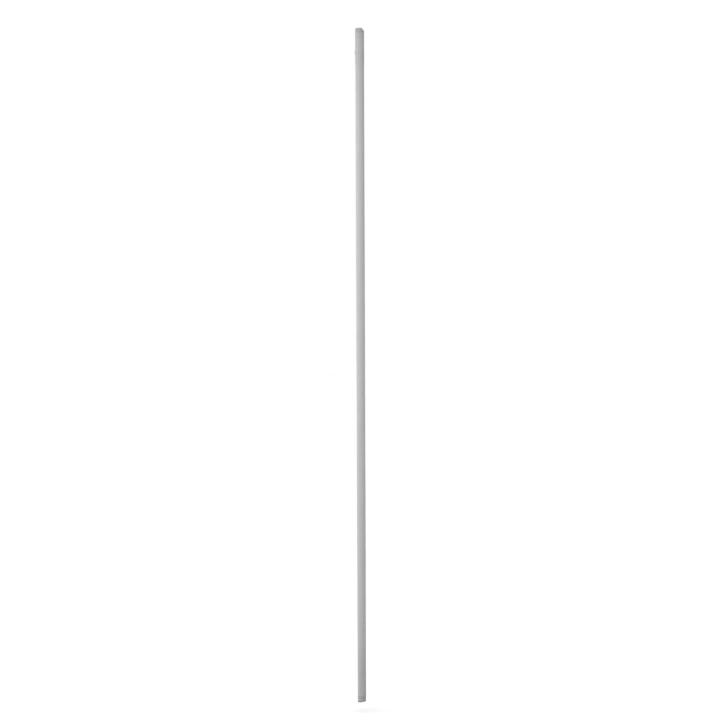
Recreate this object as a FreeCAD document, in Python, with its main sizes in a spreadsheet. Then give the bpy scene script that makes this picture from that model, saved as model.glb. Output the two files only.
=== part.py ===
import FreeCAD, Part
import os
import re
import Sketcher

# A rigid white cane, standing on its wear tip. Z runs up the shaft's axis and z = 0 is
# the lowest point of the tip. -X is the side with the rivet, +X the side where the
# plug is chamfered and the tip is worn. Lengths are millimetres.
#
# Root body: a drawn aluminium tube, tapering a little towards the ground and
# covered in white reflective sheeting. A ribbed nylon plug closes its top, held by one
# blind rivet under a second wrap of the sheeting. A tapped bush, pinned in the lower
# end, takes the stud of the wear tip, and a thin rubber washer seats between them.
#
# Threads are plain cylinders at the major diameter, with a running clearance.

SIZES = [
    ("cane_length", 1016.0, "tip to the top of the plug, 40 inches"),
    ("tube_od", 12.7, "shaft tube outside, half an inch"),
    ("tube_wall", 1.2, "shaft tube wall"),
    ("swaged_od", 12.2, "shaft tube outside at the tip end"),
    ("swage_low", 34.0, "straight length of the narrow end"),
    ("swage_high", 290.0, "height above the tube's end where the taper starts"),
    ("sheet_thick", 0.2, "one layer of reflective sheeting"),
    ("sheet_trim", 0.3, "bare tube left below the sheeting"),
    ("wrap_length", 47.5, "upper wrap, measured down from the plug's head"),
    ("wrap_layers", 2.0, "turns of sheeting in the upper wrap"),
    ("wrap_blend", 3.0, "radius where the wrap lifts over the rivet head"),
    ("dome_back", 2.5, "inner end of the dome over the rivet, from the cane's axis"),
    ("plug_head", 6.9, "height of the plug's head"),
    ("plug_spigot", 46.0, "plug length inside the tube"),
    ("plug_relief", 0.35, "depth of the grooves between the plug's ribs"),
    ("plug_groove", 2.5, "width of one groove"),
    ("plug_groove_pitch", 5.0, "spacing of the grooves"),
    ("plug_grooves", 4.0, "number of grooves"),
    ("plug_core", 5.6, "square core moulded into the spigot"),
    ("plug_core_roof", 3.5, "solid spigot above the core"),
    ("plug_lead", 1.0, "lead-in chamfer of the spigot"),
    ("plug_cut_across", 4.0, "chamfer of the head, across the top"),
    ("plug_cut_down", 4.3, "chamfer of the head, down the side"),
    ("plug_edge", 0.5, "rounding of the head's top edge"),
    ("rivet_drop", 36.2, "rivet axis below the top of the cane"),
    ("rivet_shank", 3.2, "rivet shank diameter"),
    ("rivet_hole", 3.3, "hole for the rivet"),
    ("rivet_head_od", 6.5, "rivet head diameter"),
    ("rivet_head_high", 1.0, "rivet head height"),
    ("rivet_bulb_od", 4.4, "blind side of the set rivet"),
    ("rivet_bulb_long", 2.0, "length of the blind side"),
    ("rivet_bulb_full", 1.2, "part of that length at the full diameter"),
    ("rivet_bore", 1.9, "bore of the rivet"),
    ("rivet_gap", 0.05, "room between the rivet head and the wrap"),
    ("mandrel_od", 1.84, "mandrel stem left in the rivet"),
    ("mandrel_head_od", 2.8, "mandrel head"),
    ("mandrel_head_long", 1.4, "mandrel head length"),
    ("mandrel_recess", 0.45, "broken stem below the rivet's crown"),
    ("bush_long", 22.0, "tapped bush length"),
    ("bush_recess", 0.3, "bush face inside the tube's end"),
    ("bush_edge", 0.4, "chamfer of the bush's outer edges"),
    ("bush_tapped", 14.5, "full thread depth in the bush"),
    ("bush_drill_cone", 1.8, "drill point beyond the thread"),
    ("bush_mouth", 0.7, "countersink of the thread"),
    ("thread_od", 5.9, "stud thread, M6 x 1"),
    ("thread_gap", 0.1, "radial running clearance of the thread"),
    ("stud_reach", 12.5, "stud above the washer"),
    ("stud_point", 0.8, "chamfer at the stud's end"),
    ("stud_hex", 8.0, "stud's moulded-in hexagon, across flats"),
    ("stud_hex_high", 2.4, "thickness of the hexagon"),
    ("pin_od", 2.5, "slotted spring pin"),
    ("pin_wall", 0.5, "wall of the spring pin"),
    ("pin_slot", 0.45, "slot of the spring pin"),
    ("pin_long", 11.8, "length of the spring pin"),
    ("pin_edge", 0.25, "chamfer of the pin's ends"),
    ("pin_height", 18.0, "pin axis above the bush's lower face"),
    ("washer_thick", 0.6, "rubber washer"),
    ("washer_od", 12.2, "washer outside"),
    ("washer_gap", 0.08, "clearance of the washer round the stud"),
    ("washer_edge", 0.15, "rounding of the washer"),
    ("tip_high", 6.9, "wear tip, ground to the washer"),
    ("tip_od", 12.6, "wear tip at its top"),
    ("tip_foot_od", 12.3, "wear tip above its rounded foot"),
    ("tip_round", 0.9, "rounding of the foot"),
    ("tip_under_stud", 2.4, "nylon below the stud's hexagon"),
    ("tip_edge", 0.25, "rounding of the tip's top edge"),
    ("wear_start", -2.2, "where the worn facet leaves the ground"),
    ("wear_rise", 1.45, "rise of the worn facet at the +X side"),
    ("cut_margin", 1.0, "how far a cut runs past the surface it opens"),
]

# Heights along the cane that several pieces share.
TUBE_FOOT = "(tip_high + washer_thick)"
TUBE_TOP = "(cane_length - plug_head)"
RIVET_HEIGHT = "(cane_length - rivet_drop)"
BUSH_FOOT = f"({TUBE_FOOT} + bush_recess)"
STUD_FOOT = "tip_under_stud"

# Radii that several pieces share.
WRAP_RADIUS = "(tube_od / 2 + wrap_layers * sheet_thick)"
BORE_RADIUS = "(tube_od / 2 - tube_wall)"
SWAGED_BORE_RADIUS = "(swaged_od / 2 - tube_wall)"
CROWN_RADIUS = "((rivet_head_od ^ 2 / 4 + rivet_head_high ^ 2) / (2 * rivet_head_high))"
CROWN_X = "(tube_od / 2 + rivet_head_high)"

CLOSE = 1e-4  # two points nearer than this are one

doc = FreeCAD.newDocument("white_cane")


# ---------------------------------------------------------------- sheet and sketches


def make_sizes():
    sheet = doc.addObject("Spreadsheet::Sheet", "Sizes")
    for row, (alias, size, meaning) in enumerate(SIZES, start=1):
        sheet.set(f"A{row}", meaning)
        sheet.set(f"B{row}", str(size))
        sheet.setAlias(f"B{row}", alias)
    doc.recompute()
    return sheet


sizes = make_sizes()
ALIASES = {alias for alias, _, _ in SIZES}


def bound(text):
    """The expression with every alias pointed at the sheet."""
    return re.sub(r"[a-z_]+", lambda m: f"Sizes.{m[0]}" if m[0] in ALIASES else m[0], text)


def number(text):
    return float(sizes.evalExpression(bound(text)))


def make_body(label, height="0"):
    """An empty body whose own zero stands at the given height on the cane's axis."""
    body = doc.addObject("PartDesign::Body", label)
    body.Label = label
    body.setExpression("Placement.Base.z", bound(height))
    return body


def make_sketch(body, name, plane, offset=None):
    """A sketch on one of the body's origin planes, optionally lifted off it."""
    sketch = body.newObject("Sketcher::SketchObject", name)
    support = next(f for f in body.Origin.OriginFeatures if f.Role == plane)
    sketch.AttachmentSupport = [(support, "")]
    sketch.MapMode = "FlatFace"
    if offset:
        sketch.setExpression("AttachmentOffset.Base.z", bound(offset))
    doc.recompute()
    return sketch


def constrain(sketch, kind, *where, size):
    """One driving dimension, bound to the sheet."""
    index = sketch.addConstraint(Sketcher.Constraint(kind, *where, number(size)))
    sketch.setExpression(f"Constraints[{index}]", bound(size))


def arc_between(start, end, radius):
    """The short arc from start to end. A positive radius has its centre on the left."""
    chord = end - start
    left = FreeCAD.Vector(-chord.y, chord.x, 0).normalize()
    reach = (radius**2 - chord.Length**2 / 4) ** 0.5
    centre = (start + end) / 2 + left * (reach if radius > 0 else -reach)
    out = ((start + end) / 2 - centre).normalize()
    return Part.Arc(start, centre + out * abs(radius), end)


def draw_outline(sketch, points, arcs=None):
    """A closed outline through points, each a pair of expressions.

    Edge n runs from point n to the next one. arcs maps an edge's number to its radius,
    an expression that is negative where the centre lies on the edge's right.
    """
    arcs = arcs or {}
    corners = [FreeCAD.Vector(number(x), number(y), 0) for x, y in points]
    starts, ends = [], []
    for n, start in enumerate(corners):
        end = corners[(n + 1) % len(corners)]
        if n in arcs:
            edge = sketch.addGeometry(arc_between(start, end, number(arcs[n])))
        else:
            edge = sketch.addGeometry(Part.LineSegment(start, end))
        forward = (sketch.getPoint(edge, 1) - start).Length < CLOSE
        starts.append((edge, 1 if forward else 2))
        ends.append((edge, 2 if forward else 1))
    for n, (x, y) in enumerate(points):
        sketch.addConstraint(Sketcher.Constraint("Coincident", *ends[n - 1], *starts[n]))
        constrain(sketch, "DistanceX", -1, 1, *starts[n], size=x)
        constrain(sketch, "DistanceY", -1, 1, *starts[n], size=y)
    for n, radius in arcs.items():
        size = radius.lstrip("-")
        constrain(sketch, "Radius", starts[n][0], size=size)


def draw_circle(sketch, diameter, y="0"):
    centre = FreeCAD.Vector(0, number(y), 0)
    up = FreeCAD.Vector(0, 0, 1)
    edge = sketch.addGeometry(Part.Circle(centre, up, number(diameter) / 2))
    constrain(sketch, "Diameter", edge, size=diameter)
    constrain(sketch, "DistanceX", -1, 1, edge, 3, size="0")
    constrain(sketch, "DistanceY", -1, 1, edge, 3, size=y)


def rectangle(x_low, x_high, y_low, y_high):
    return [(x_low, y_low), (x_high, y_low), (x_high, y_high), (x_low, y_high)]


# ------------------------------------------------------------------------- features


def turn(body, name, points, arcs=None, axis="V_Axis", cut=False):
    """Turns an outline on the XZ plane about the cane's axis, or about X with H_Axis."""
    sketch = make_sketch(body, name + "_outline", "XZ_Plane")
    draw_outline(sketch, points, arcs)
    kind = "PartDesign::Groove" if cut else "PartDesign::Revolution"
    base = body.Tip
    feature = body.newObject(kind, name)
    feature.Profile = sketch
    feature.ReferenceAxis = (sketch, [axis])
    feature.Angle = 360
    finish_feature(body, feature, cut_from=base if cut else None)
    return feature


def pocket(body, name, sketch, side="Symmetric", depth=None):
    """Cuts a sketch through the body, or to a depth."""
    base = body.Tip
    feature = body.newObject("PartDesign::Pocket", name)
    feature.Profile = sketch
    feature.SideType = side
    feature.Type = "Length" if depth else "ThroughAll"
    if depth:
        feature.setExpression("Length", bound(depth))
    finish_feature(body, feature, cut_from=base)


def pocket_outline(body, name, points):
    """Cuts an outline on the XZ plane right through, along Y."""
    sketch = make_sketch(body, name + "_outline", "XZ_Plane")
    draw_outline(sketch, points)
    pocket(body, name, sketch)


def fillet(body, name, edges, radius):
    base = body.Tip
    feature = body.newObject("PartDesign::Fillet", name)
    feature.Base = (base, edges)
    feature.setExpression("Radius", bound(radius))
    finish_feature(body, feature)


def finish_feature(body, feature, cut_from=None):
    """Recomputes, and stops if the feature failed or took nothing from what it cuts."""
    body.Tip = feature
    doc.recompute()
    if {"Invalid", "Error"} & set(feature.State):
        raise RuntimeError(f"{body.Label}.{feature.Name}: {feature.State}")
    if cut_from and not feature.Shape.Volume < cut_from.Shape.Volume - CLOSE:
        raise RuntimeError(f"{body.Label}.{feature.Name} cuts nothing")


def edges_where(shape, test):
    """The names of a shape's edges that pass a test."""
    return [f"Edge{n}" for n, edge in enumerate(shape.Edges, start=1) if test(edge)]


def outer_rims(shape, height):
    """The edges that lie flat at a height and are wider than the stud's hexagon."""
    level, least = number(height), number("stud_hex")

    def test(edge):
        box = edge.BoundBox
        return abs(box.Center.z - level) < CLOSE and box.ZLength < CLOSE and box.XLength > least

    return edges_where(shape, test)


# ----------------------------------------------------------------------- the pieces


def make_shaft_tube():
    body = make_body("shaft_tube", TUBE_FOOT)
    top = f"{TUBE_TOP} - {TUBE_FOOT}"
    turn(
        body,
        "drawn_tube",
        [
            (SWAGED_BORE_RADIUS, "0"),
            ("swaged_od / 2", "0"),
            ("swaged_od / 2", "swage_low"),
            ("tube_od / 2", "swage_high"),
            ("tube_od / 2", top),
            (BORE_RADIUS, top),
            (BORE_RADIUS, "swage_high"),
            (SWAGED_BORE_RADIUS, "swage_low"),
        ],
    )
    pin_hole = make_sketch(body, "pin_hole_circle", "XZ_Plane")
    draw_circle(pin_hole, "pin_od", y="bush_recess + pin_height")
    pocket(body, "pin_hole", pin_hole)
    rivet_hole = make_sketch(body, "rivet_hole_circle", "YZ_Plane")
    draw_circle(rivet_hole, "rivet_hole", y=f"{RIVET_HEIGHT} - {TUBE_FOOT}")
    pocket(body, "rivet_hole_cut", rivet_hole, side="One side")


def make_reflective_sheeting():
    body = make_body("reflective_sheeting", TUBE_FOOT)
    top = f"{TUBE_TOP} - {TUBE_FOOT} - wrap_length"
    turn(
        body,
        "first_layer",
        [
            ("swaged_od / 2", "sheet_trim"),
            ("swaged_od / 2 + sheet_thick", "sheet_trim"),
            ("swaged_od / 2 + sheet_thick", "swage_low"),
            ("tube_od / 2 + sheet_thick", "swage_high"),
            ("tube_od / 2 + sheet_thick", top),
            ("tube_od / 2", top),
            ("tube_od / 2", "swage_high"),
            ("swaged_od / 2", "swage_low"),
        ],
    )


def make_top_wrap():
    """The wrap stands in its own frame with zero at the rivet, whose axis is X."""
    body = make_body("top_wrap", RIVET_HEIGHT)
    top = f"{TUBE_TOP} - {RIVET_HEIGHT}"
    foot = f"{top} - wrap_length"
    wrap_thick = "wrap_layers * sheet_thick"
    turn(body, "wrap_solid", rectangle("0", WRAP_RADIUS, foot, top))

    # A dome concentric with the rivet's crown, blended into the wrap.
    dome_radius = f"({CROWN_RADIUS} + {wrap_thick})"
    dome_centre = f"({CROWN_X} - {CROWN_RADIUS})"
    dome_back_rise = f"({dome_radius} ^ 2 - (dome_back - {dome_centre}) ^ 2) ^ 0.5"
    dome = turn(
        body,
        "dome",
        [
            (f"-({CROWN_X} + {wrap_thick})", "0"),
            ("-dome_back", dome_back_rise),
            ("-dome_back", "0"),
        ],
        arcs={0: f"-{dome_radius}"},
        axis="H_Axis",
    )
    crease = edges_where(dome.Shape, lambda edge: is_crease(dome.Shape, edge))
    fillet(body, "dome_blend", crease, "wrap_blend")

    turn(body, "tube_bore", rectangle("0", "tube_od / 2", foot, top), cut=True)
    turn(
        body,
        "rivet_recess",
        crown_outline("rivet_head_od / 2 + rivet_gap", "rivet_gap"),
        arcs={0: f"-({CROWN_RADIUS} + rivet_gap)"},
        axis="H_Axis",
        cut=True,
    )


def is_crease(shape, edge):
    """True where a dome's sphere meets the wrap's cylinder."""
    kinds = {type(face.Surface) for face in shape.ancestorsOfType(edge, Part.Face)}
    return kinds == {Part.Sphere, Part.Cylinder}


def crown_outline(rim_radius, lift="0"):
    """Half of a rivet crown on the XZ plane: apex, rim, then straight to below the tube."""
    seat = "tube_od / 2 - rivet_head_od / 4"
    crown = f"({CROWN_RADIUS} + {lift})"
    rim_x = f"({CROWN_X} - {CROWN_RADIUS} + ({crown} ^ 2 - ({rim_radius}) ^ 2) ^ 0.5)"
    return [
        (f"-({CROWN_X} + {lift})", "0"),
        (f"-{rim_x}", rim_radius),
        (f"-({seat})", rim_radius),
        (f"-({seat})", "0"),
    ]


def make_butt_plug():
    """Head and ribbed spigot, zero at the shoulder that sits on the tube's end."""
    body = make_body("butt_plug", TUBE_TOP)
    turn(
        body,
        "head_and_spigot",
        [
            ("0", "plug_head"),
            ("0", "-plug_spigot"),
            (f"{BORE_RADIUS} - plug_lead / 2", "-plug_spigot"),
            (BORE_RADIUS, "plug_lead - plug_spigot"),
            (BORE_RADIUS, "0"),
            (WRAP_RADIUS, "0"),
            (WRAP_RADIUS, "plug_head"),
        ],
    )
    groove = turn(
        body,
        "rib_groove",
        rectangle(
            f"{BORE_RADIUS} - plug_relief",
            BORE_RADIUS,
            "-plug_groove_pitch - plug_groove",
            "-plug_groove_pitch",
        ),
        cut=True,
    )
    pattern = body.newObject("PartDesign::LinearPattern", "rib_grooves")
    pattern.Originals = [groove]
    pattern.Direction = (groove.Profile[0], ["V_Axis"])
    pattern.Reversed = True
    pattern.Mode = "Spacing"
    pattern.setExpression("Offset", bound("plug_groove_pitch"))
    pattern.setExpression("Occurrences", bound("plug_grooves"))
    finish_feature(body, pattern, cut_from=groove)

    core = make_sketch(body, "core_square", "XY_Plane", offset="-plug_core_roof")
    half = "plug_core / 2"
    draw_outline(core, rectangle(f"-{half}", half, f"-{half}", half))
    pocket(body, "core", core, side="One side")

    rivet_hole = make_sketch(body, "rivet_hole_circle", "YZ_Plane")
    draw_circle(rivet_hole, "rivet_hole", y=f"{RIVET_HEIGHT} - {TUBE_TOP}")
    pocket(body, "rivet_hole_cut", rivet_hole, side="One side")

    steep = "cut_margin * plug_cut_down / plug_cut_across"
    inner = f"{WRAP_RADIUS} - plug_cut_across"
    pocket_outline(
        body,
        "side_chamfer",
        [
            (f"{inner} - cut_margin", f"plug_head + {steep}"),
            (f"{WRAP_RADIUS} + cut_margin", f"plug_head - plug_cut_down - {steep}"),
            (f"{WRAP_RADIUS} + cut_margin", f"plug_head + {steep}"),
        ],
    )
    chamfer_foot = number("plug_head - plug_cut_down") - CLOSE
    rim = edges_where(body.Tip.Shape, lambda edge: edge.BoundBox.ZMin > chamfer_foot)
    fillet(body, "head_edges", rim, "plug_edge")


def make_plug_rivet():
    """A set blind rivet: crown drawn down on the tube, shank, bulb and through bore."""
    body = make_body("plug_rivet", RIVET_HEIGHT)
    turn(
        body,
        "crown",
        crown_outline("rivet_head_od / 2"),
        arcs={0: f"-{CROWN_RADIUS}"},
        axis="H_Axis",
    )
    seat = make_sketch(body, "seat_circle", "XY_Plane")
    draw_circle(seat, "tube_od")
    pocket(body, "seat", seat)
    wall = "plug_core / 2"
    bulb_end = f"({wall} - rivet_bulb_long)"
    turn(
        body,
        "shank_and_bulb",
        [
            (f"-{CROWN_X} + rivet_head_high / 2", "0"),
            (f"-{CROWN_X} + rivet_head_high / 2", "rivet_shank / 2"),
            (f"-{wall}", "rivet_shank / 2"),
            (f"-{wall}", "rivet_bulb_od / 2"),
            (f"-{wall} + rivet_bulb_full", "rivet_bulb_od / 2"),
            (f"-{bulb_end}", "rivet_shank / 2"),
            (f"-{bulb_end}", "0"),
        ],
        axis="H_Axis",
    )
    turn(
        body,
        "mandrel_bore",
        rectangle(
            f"-{CROWN_X} - cut_margin",
            f"-{bulb_end} + cut_margin",
            "0",
            "rivet_bore / 2",
        ),
        axis="H_Axis",
        cut=True,
    )


def make_rivet_mandrel():
    """The stem that stays in the set rivet, with its head behind the bulb."""
    body = make_body("rivet_mandrel", RIVET_HEIGHT)
    back = "(plug_core / 2 - rivet_bulb_long)"
    turn(
        body,
        "stem_and_head",
        [
            (f"-{CROWN_X} + mandrel_recess", "0"),
            (f"-{CROWN_X} + mandrel_recess", "mandrel_od / 2"),
            (f"-{back}", "mandrel_od / 2"),
            (f"-{back}", "mandrel_head_od / 2"),
            (f"-{back} + mandrel_head_long / 2", "mandrel_head_od / 2"),
            (f"-{back} + mandrel_head_long", "mandrel_od / 2"),
            (f"-{back} + mandrel_head_long", "0"),
        ],
        axis="H_Axis",
    )


def make_tip_bush():
    body = make_body("tip_bush", BUSH_FOOT)
    bore = "(thread_od / 2 + thread_gap)"
    turn(
        body,
        "tapped_bush",
        [
            (f"{bore} + bush_mouth", "0"),
            (f"{SWAGED_BORE_RADIUS} - bush_edge", "0"),
            (SWAGED_BORE_RADIUS, "bush_edge"),
            (SWAGED_BORE_RADIUS, "bush_long - bush_edge"),
            (f"{SWAGED_BORE_RADIUS} - bush_edge", "bush_long"),
            ("0", "bush_long"),
            ("0", "bush_tapped + bush_drill_cone"),
            (bore, "bush_tapped"),
            (bore, "bush_mouth"),
        ],
    )
    pin_hole = make_sketch(body, "pin_hole_circle", "XZ_Plane")
    draw_circle(pin_hole, "pin_od", y="pin_height")
    pocket(body, "pin_hole", pin_hole)


def make_bush_pin():
    """A slotted spring pin. It is turned upright, then laid along Y."""
    body = make_body("bush_pin", f"{BUSH_FOOT} + pin_height")
    inner = "(pin_od / 2 - pin_wall)"
    turn(
        body,
        "rolled_pin",
        [
            (inner, "-pin_long / 2"),
            ("pin_od / 2 - pin_edge", "-pin_long / 2"),
            ("pin_od / 2", "pin_edge - pin_long / 2"),
            ("pin_od / 2", "pin_long / 2 - pin_edge"),
            ("pin_od / 2 - pin_edge", "pin_long / 2"),
            (inner, "pin_long / 2"),
        ],
    )
    slot = make_sketch(body, "slot_outline", "XY_Plane")
    draw_outline(slot, rectangle("0", "pin_od", "-pin_slot / 2", "pin_slot / 2"))
    pocket(body, "slot", slot)
    lying = FreeCAD.Rotation(FreeCAD.Vector(1, 0, 0), 90)
    body.Placement = FreeCAD.Placement(body.Placement.Base, lying)


def make_cushion_washer():
    body = make_body("cushion_washer", "tip_high")
    inner = "thread_od / 2 + washer_gap"
    ring = turn(body, "ring", rectangle(inner, "washer_od / 2", "0", "washer_thick"))
    rims = outer_rims(ring.Shape, "0") + outer_rims(ring.Shape, "washer_thick")
    fillet(body, "rounded_rims", rims, "washer_edge")


def make_glide_tip():
    """Nylon moulded round the stud's hexagon, its foot rounded and worn on one side."""
    body = make_body("glide_tip")
    hex_top = f"{STUD_FOOT} + stud_hex_high"
    turn(
        body,
        "moulding",
        [
            ("0", "0"),
            ("tip_foot_od / 2 - tip_round", "0"),
            ("tip_foot_od / 2", "tip_round"),
            ("tip_od / 2", "tip_high"),
            ("thread_od / 2", "tip_high"),
            ("thread_od / 2", hex_top),
            ("0", hex_top),
        ],
        arcs={1: "tip_round"},
    )
    hexagon = make_sketch(body, "hexagon", "XY_Plane", offset=hex_top)
    draw_outline(hexagon, hexagon_corners())
    pocket(body, "hexagon_seat", hexagon, side="One side", depth="stud_hex_high")
    slope = "(cut_margin * wear_rise / (tip_foot_od / 2 - wear_start))"
    pocket_outline(
        body,
        "worn_facet",
        [
            ("wear_start - cut_margin", f"-{slope}"),
            ("tip_foot_od / 2 + cut_margin", f"-{slope}"),
            ("tip_foot_od / 2 + cut_margin", f"wear_rise + {slope}"),
        ],
    )
    fillet(body, "top_rim", outer_rims(body.Tip.Shape, "tip_high"), "tip_edge")


def hexagon_corners():
    """The corners of the stud's hexagon, from its width across flats."""
    across = "(stud_hex / 2 / 3 ^ 0.5)"
    half = "stud_hex / 2"
    return [
        (half, f"-{across}"),
        (half, across),
        ("0", f"2 * {across}"),
        (f"-{half}", across),
        (f"-{half}", f"-{across}"),
        ("0", f"-2 * {across}"),
    ]


def make_tip_stud():
    """The hexagon that the tip is moulded round, and the threaded shank above it."""
    body = make_body("tip_stud", STUD_FOOT)
    hexagon = make_sketch(body, "hexagon", "XY_Plane")
    draw_outline(hexagon, hexagon_corners())
    head = body.newObject("PartDesign::Pad", "hexagon_head")
    head.Profile = hexagon
    head.setExpression("Length", bound("stud_hex_high"))
    finish_feature(body, head)
    end = f"{TUBE_FOOT} + stud_reach - {STUD_FOOT}"
    turn(
        body,
        "shank",
        [
            ("0", "stud_hex_high / 2"),
            ("thread_od / 2", "stud_hex_high / 2"),
            ("thread_od / 2", f"{end} - stud_point"),
            ("thread_od / 2 - stud_point", end),
            ("0", end),
        ],
    )


def check_and_write():
    """Stops on any failed object, then writes each piece under its own name."""
    failed = [o.Name for o in doc.Objects if {"Invalid", "Error"} & set(o.State)]
    if failed:
        raise RuntimeError(f"failed objects: {failed}")
    loose = [s.Name for s in doc.findObjects("Sketcher::SketchObject") if not s.FullyConstrained]
    if loose:
        raise RuntimeError(f"sketches with free points: {loose}")
    os.makedirs("parts", exist_ok=True)
    for body in doc.findObjects("PartDesign::Body"):
        shape = body.Shape
        if shape.isNull() or not shape.isValid() or len(shape.Solids) != 1:
            raise RuntimeError(f"{body.Label} is not one valid solid")
        shape.exportStep(f"parts/{body.Label}.step")
        box = shape.BoundBox
        print(f"{body.Label:20s} {shape.Volume:10.1f} mm3  z {box.ZMin:8.2f} to {box.ZMax:8.2f}")


make_shaft_tube()
make_reflective_sheeting()
make_top_wrap()
make_butt_plug()
make_plug_rivet()
make_rivet_mandrel()
make_tip_bush()
make_bush_pin()
make_cushion_washer()
make_glide_tip()
make_tip_stud()
doc.recompute()
check_and_write()
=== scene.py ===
import math

import bmesh
import bpy
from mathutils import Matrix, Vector, noise


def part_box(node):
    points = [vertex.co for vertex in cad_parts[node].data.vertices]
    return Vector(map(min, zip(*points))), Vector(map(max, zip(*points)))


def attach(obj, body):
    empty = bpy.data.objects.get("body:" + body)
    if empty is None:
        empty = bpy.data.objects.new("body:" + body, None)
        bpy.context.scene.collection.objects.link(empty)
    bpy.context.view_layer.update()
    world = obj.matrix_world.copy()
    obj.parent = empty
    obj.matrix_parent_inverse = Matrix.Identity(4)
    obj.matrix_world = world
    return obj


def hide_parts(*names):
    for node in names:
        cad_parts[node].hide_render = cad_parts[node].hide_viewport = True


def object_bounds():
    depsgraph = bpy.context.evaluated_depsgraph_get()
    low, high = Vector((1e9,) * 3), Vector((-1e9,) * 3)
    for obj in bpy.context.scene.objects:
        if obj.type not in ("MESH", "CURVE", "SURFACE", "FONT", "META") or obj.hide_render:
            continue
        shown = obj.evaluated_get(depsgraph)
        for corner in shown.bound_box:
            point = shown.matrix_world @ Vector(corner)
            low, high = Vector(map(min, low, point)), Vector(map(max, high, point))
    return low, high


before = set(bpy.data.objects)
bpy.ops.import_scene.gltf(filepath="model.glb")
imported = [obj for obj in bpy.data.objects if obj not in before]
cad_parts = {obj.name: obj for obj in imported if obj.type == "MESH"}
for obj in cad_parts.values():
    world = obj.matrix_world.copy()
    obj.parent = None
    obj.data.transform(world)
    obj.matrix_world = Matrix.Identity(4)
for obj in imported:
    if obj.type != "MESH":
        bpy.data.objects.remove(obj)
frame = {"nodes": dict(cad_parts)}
cad_low, cad_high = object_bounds()

# The looks of a rigid white cane standing on its tip, in metres, in the CAD frame: Z up the
# shaft, -X the side with the rivet under the upper wrap, +X the side where the plug is
# chamfered and the tip is worn. Angles round the shaft are from +X towards +Y.

MM = 0.001
SHARP = math.radians(38)  # edges sharper than this are drawn crisp

LAP_THICK = 0.15 * MM  # height of a lengthwise lap in the sheeting
LAP_STEP = math.radians(0.3)  # how far round the drop at a lap's free edge takes, each way
SHEET_LAP_EDGE = math.radians(100)  # free edge of the sheeting's lap, at the back
SHEET_LAP_UNDER = math.radians(40)  # where the lap starts over the inner edge
WRAP_LAP_EDGE = math.radians(140)  # the same two edges in the upper wrap
WRAP_LAP_UNDER = math.radians(204)
SHEET_FRAY = 0.9 * MM  # how far up the sheeting's lower end is worn
WRAP_ROUNDING = 0.16 * MM  # at both ends of the upper wrap

# Scuffed rings round the lower shaft: height, half width and soft edge, in millimetres.
RINGS = [(120.5, 1.5, 3.0), (94.3, 0.8, 2.2), (45.2, 0.8, 2.2)]

# Old knocks in the shaft: height, angle, depth and reach of each shallow dent.
DENTS = [
    (RINGS[0][0] * MM, math.radians(262), 0.16 * MM, 5.0 * MM),
    (RINGS[1][0] * MM, math.radians(288), 0.12 * MM, 4.0 * MM),
    (RINGS[2][0] * MM, math.radians(250), 0.14 * MM, 3.5 * MM),
    (220.0 * MM, math.radians(75), 0.12 * MM, 6.0 * MM),
    (397.0 * MM, math.radians(205), 0.08 * MM, 5.0 * MM),
    (611.0 * MM, math.radians(320), 0.07 * MM, 6.0 * MM),
]

RIVET_DOME_BLEND = 0.8 * MM  # how softly the wrap is drawn over the rivet's head
RIVET_FIELD = 9 * MM  # how far from the rivet the wrap's mesh is fine
CREASE_HIGH = 0.06 * MM

TUBE_WALL = 1.2 * MM
PLUG_EDGE = 0.5 * MM
PLUG_UNDERCUT = 0.18 * MM  # the small chamfer under the head
PLUG_UNDERCUT_HIGH = 0.12 * MM
PLUG_CORE = 2.8 * MM  # half the width of the square core
PLUG_ROOF = 3.5 * MM  # from the head's shoulder down to the core's end
PLUG_SINK = 0.14 * MM  # depth of the sink mark in the top face
PLUG_GATE = -0.9 * MM  # x of the moulding gate's scar
PLUG_GATE_RADIUS = 0.9 * MM
PLUG_GATE_RIDGE = 0.10 * MM  # height of the ring that the gate left, and half its width
PLUG_GATE_RIDGE_WIDE = 0.18 * MM
PLUG_CUT_ACROSS = 4.0 * MM  # the flat cut on the head, along the top and down the side
PLUG_CUT_DOWN = 4.3 * MM
SPIGOT_LEAD = 0.5 * MM  # the taper at the spigot's open end, inwards and upwards
SPIGOT_LEAD_HIGH = 1.0 * MM
GROOVES = 4  # grooves between the spigot's ribs
GROOVE_PITCH = 5.0 * MM
GROOVE_WIDE = 2.5 * MM
GROOVE_DEEP = 0.35 * MM

WASHER_BORE = 3.03 * MM
WASHER_BULGE = 0.30 * MM
WASHER_BEVEL = 0.12 * MM

TIP_FOOT_RADIUS = 6.15 * MM
TIP_ROUNDING = 0.9 * MM  # of the foot's edge, less on the worn side
TIP_ROUNDING_WORN = 0.45 * MM
TIP_TOP_ROUNDING = 0.25 * MM
WEAR_START = -2.2 * MM  # where the worn facet leaves the ground
WEAR_RISE = 1.45 * MM  # its rise at the +X side
WEAR_SLOPE = WEAR_RISE / (TIP_FOOT_RADIUS - WEAR_START)

STUD_RADIUS = 2.95 * MM
STUD_HALF_HEX = 4.0 * MM
STUD_HEX_HIGH = 2.4 * MM
STUD_POINT = 0.8 * MM
STUD_PLAY = 0.01 * MM  # between the stud and the nylon moulded round it
THREAD_PITCH = 1.0 * MM
THREAD_DEPTH = 0.55 * MM
THREAD_RUN_OUT = 1.1 * MM

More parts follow.
